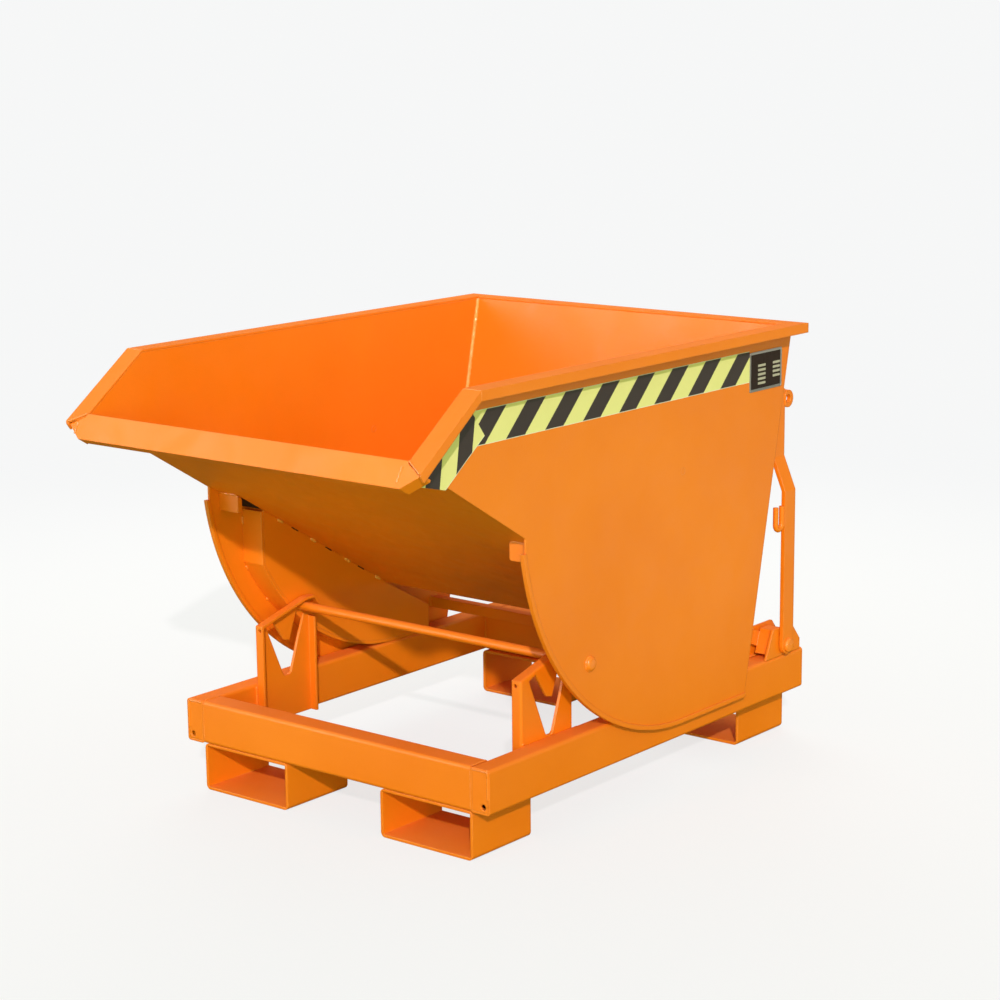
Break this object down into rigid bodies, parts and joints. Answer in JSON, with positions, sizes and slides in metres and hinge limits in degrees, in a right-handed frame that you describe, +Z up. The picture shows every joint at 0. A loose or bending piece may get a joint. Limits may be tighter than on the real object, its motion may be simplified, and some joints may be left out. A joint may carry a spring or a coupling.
{
  "type": "tipping skip",
  "caption": "Fork-mounted tipping skip: a sheet-steel hopper that rolls forward on rocker treads along a low frame with fork pockets, released by a side lever with a cord eye.",
  "frame": {"origin": "middle of the box around the part, on the floor under the fork pockets", "axes": "+Z up, the mouth of the skip points to -Y, the release lever is on the +X side"},
  "size_m": [0.77, 1.136, 0.778],
  "materials": {
    "orange_paint": "semi-gloss orange enamel over steel, lightly scuffed",
    "plain_steel": "bare turned steel",
    "hazard_tape": "self-adhesive film with slanted dark stripes",
    "data_plate": "dark plate with a bare silver border, no lettering"
  },
  "bodies": {
    "frame": {"left_side_rail": "orange_paint", "right_side_rail": "orange_paint", "front_beam": "orange_paint", "rear_beam": "orange_paint", "front_left_fork_pocket": "orange_paint", "front_right_fork_pocket": "orange_paint", "rear_left_fork_pocket": "orange_paint", "rear_right_fork_pocket": "orange_paint", "rail_end_caps": "orange_paint", "left_tip_stand": "orange_paint", "right_tip_stand": "orange_paint", "lever_inner_lug": "orange_paint", "lever_outer_lug": "orange_paint"},
    "roll_carrier": {"rocker_centre_plugs": "orange_paint"},
    "skip": {"left_side_plate": "orange_paint", "right_side_plate": "orange_paint", "left_rocker_edge_bar": "orange_paint", "right_rocker_edge_bar": "orange_paint", "left_rocker_tread": "orange_paint", "right_rocker_tread": "orange_paint", "left_inner_rocker_plate": "orange_paint", "right_inner_rocker_plate": "orange_paint", "left_stop_block": "orange_paint", "right_stop_block": "orange_paint", "rear_rocker_tie": "orange_paint", "chute_plate": "orange_paint", "rear_wall": "orange_paint", "front_lip": "orange_paint", "left_rim": "orange_paint", "right_rim": "orange_paint", "rear_rim": "orange_paint", "guide_rod": "orange_paint", "guide_rod_bosses": "orange_paint", "catch_pin": "orange_paint"},
    "lever": {"release_lever": "orange_paint", "lever_shaft": "plain_steel", "lever_shaft_heads": "orange_paint", "latch_claw": "orange_paint", "cord_eye": "orange_paint", "cord_hook": "orange_paint"}
  },
  "joints": [
    {"name": "skip_travel", "type": "slide", "parent": "frame", "child": "roll_carrier", "axis": [0, -1, 0], "range_m": [0, 0.434]},
    {"name": "skip_roll", "type": "hinge", "parent": "roll_carrier", "child": "skip", "pos_m": [0, 0.156, 0.5603], "axis": [1, 0, 0], "range_deg": [0, 62]},
    {"name": "lever_swing", "type": "hinge", "parent": "frame", "child": "lever", "pos_m": [0.324, 0.502, 0.18], "axis": [-1, 0, 0], "range_deg": [0, 20]}
  ],
  "couplings": [
    {"joint": "skip_travel", "follows": "skip_roll", "m_per_rad": 0.4}
  ]
}
